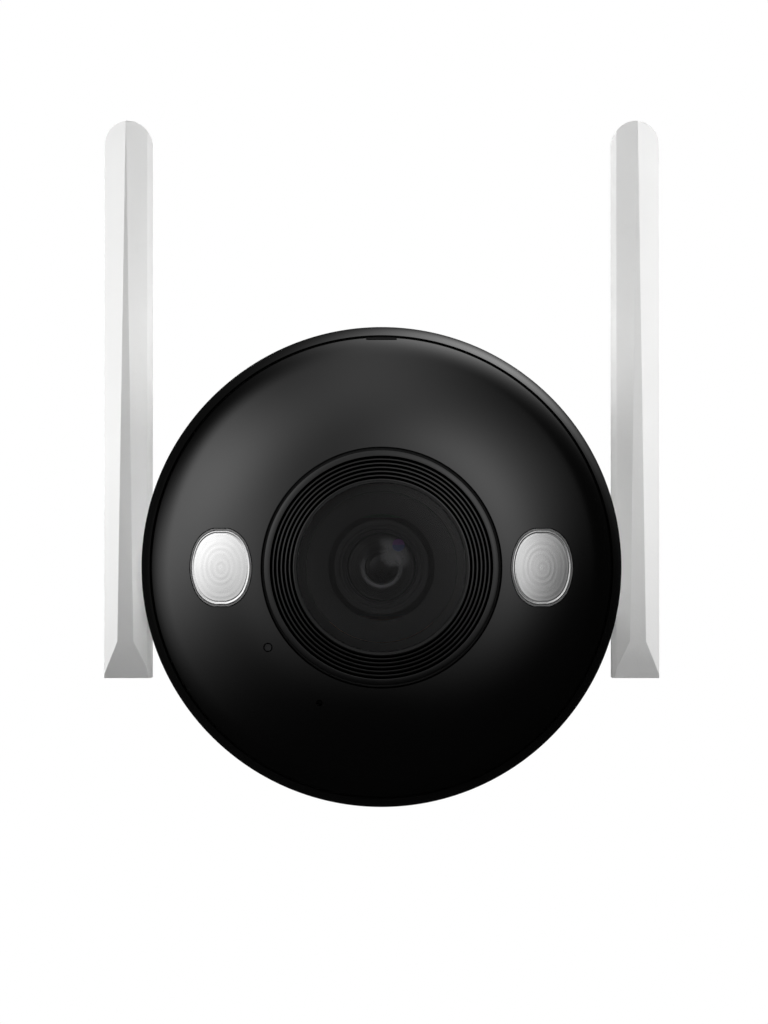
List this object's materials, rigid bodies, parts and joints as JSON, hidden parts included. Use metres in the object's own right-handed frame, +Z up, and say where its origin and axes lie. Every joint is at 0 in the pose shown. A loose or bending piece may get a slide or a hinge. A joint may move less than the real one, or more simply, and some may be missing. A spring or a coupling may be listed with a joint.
{
  "type": "security camera",
  "caption": "Round bullet camera with a ribbed lens recess, oval spotlights and folding blade antennas, on a pan, tilt and roll wall bracket.",
  "frame": {"origin": "centre of the bracket's back face, on the wall", "axes": "+Y into the wall, the camera looks along -Y, +Z up, +X to the right seen from the front"},
  "size_m": [0.1062, 0.2246, 0.1252],
  "materials": {
    "white_plastic": "fine matt moulding",
    "white_paint": "satin powder coat",
    "black_plastic": "matt",
    "black_gloss": "satin gloss",
    "black_rubber": "matt",
    "black_metal": "black anodised",
    "steel": "zinc plated",
    "nylon": "matt",
    "clear_plastic": "clear",
    "milky_plastic": "milky diffuser",
    "window": "tinted, coated",
    "lens_glass": "coated",
    "led_phosphor": "matt",
    "sensor_face": "glossy",
    "circuit_board": "solder mask",
    "chip_black": "matt",
    "copper": "enamelled wire",
    "bare_aluminium": "plain",
    "reflector": "metallised"
  },
  "bodies": {
    "base": {"wall_pad": "black_rubber", "base_plate": "white_paint"},
    "swivel": {"swivel_yoke": "white_paint", "swivel_bolt": "steel", "swivel_washer": "steel", "tilt_bolt": "steel", "tilt_nut": "steel", "tilt_washers": "nylon"},
    "knuckle": {"knuckle": "white_paint", "roll_retainer": "steel", "retainer_screws": "steel"},
    "lock_collar": {"lock_collar": "black_plastic"},
    "ir_filter": {"ir_filter_carrier": "black_plastic", "ir_filter_panes": "lens_glass"},
    "reset_button": {"reset_button": "black_plastic"},
    "card_cover": {"card_cover": "white_plastic", "card_cover_screws": "steel"},
    "antenna_left": {"antenna_shell_left": "white_plastic", "antenna_core_left": "circuit_board"},
    "antenna_right": {"antenna_shell_right": "white_plastic", "antenna_core_right": "circuit_board"},
    "camera": {"rear_cover": "white_plastic", "rear_screws": "steel", "rear_seal": "black_rubber", "cable_gland": "black_plastic", "gland_seal": "black_rubber", "barrel": "white_plastic", "front_bezel": "black_gloss", "front_cover": "black_gloss", "spot_gaskets": "clear_plastic", "bezel_seal": "black_rubber", "lens_hood": "black_plastic", "window_glass": "window", "window_seal": "black_rubber", "lens_baffle": "black_plastic", "led_chips": "led_phosphor", "lens_barrel": "black_metal", "lens_front_element": "lens_glass", "lens_retainer": "black_metal", "lens_holder": "black_plastic", "ir_filter_coil": "copper", "image_sensor": "sensor_face", "sensor_board": "circuit_board", "chassis": "black_plastic", "main_board": "circuit_board", "board_chips": "chip_black", "heat_pad": "bare_aluminium", "speaker": "black_plastic", "microphone": "bare_aluminium", "light_sensor": "clear_plastic", "card_socket": "bare_aluminium", "antenna_pins": "white_plastic", "spot_window_left": "milky_plastic", "spot_window_right": "milky_plastic", "spot_reflector_left": "reflector", "spot_reflector_right": "reflector", "led_board_left": "circuit_board", "led_board_right": "circuit_board"}
  },
  "joints": [
    {"name": "pan", "type": "hinge", "parent": "base", "child": "swivel", "pos_m": [0, -0.0113, 0], "axis": [0, 1, 0], "range_deg": [-180, 180]},
    {"name": "tilt", "type": "hinge", "parent": "swivel", "child": "knuckle", "pos_m": [0, -0.054, 0], "axis": [1, 0, 0], "range_deg": [0, 90]},
    {"name": "roll", "type": "hinge", "parent": "knuckle", "child": "camera", "pos_m": [0, -0.076, 0], "axis": [0, 1, 0], "range_deg": [-180, 180]},
    {"name": "collar_turn", "type": "hinge", "parent": "knuckle", "child": "lock_collar", "pos_m": [0, -0.073, 0], "axis": [0, 1, 0], "range_deg": [0, 120]},
    {"name": "filter_shift", "type": "slide", "parent": "camera", "child": "ir_filter", "axis": [1, 0, 0], "range_m": [0, 0.00575]},
    {"name": "reset_press", "type": "slide", "parent": "camera", "child": "reset_button", "axis": [0, 0, 1], "range_m": [0, 0.0005], "stiffness_N_per_m": 800},
    {"name": "card_cover_off", "type": "slide", "parent": "camera", "child": "card_cover", "axis": [0, 0, -1], "range_m": [0, 0.03]},
    {"name": "antenna_left_fold", "type": "hinge", "parent": "camera", "child": "antenna_left", "pos_m": [-0.04855, -0.093, -0.005], "axis": [1, 0, 0], "range_deg": [0, 90]},
    {"name": "antenna_right_fold", "type": "hinge", "parent": "camera", "child": "antenna_right", "pos_m": [0.04855, -0.093, -0.005], "axis": [1, 0, 0], "range_deg": [0, 90]}
  ]
}
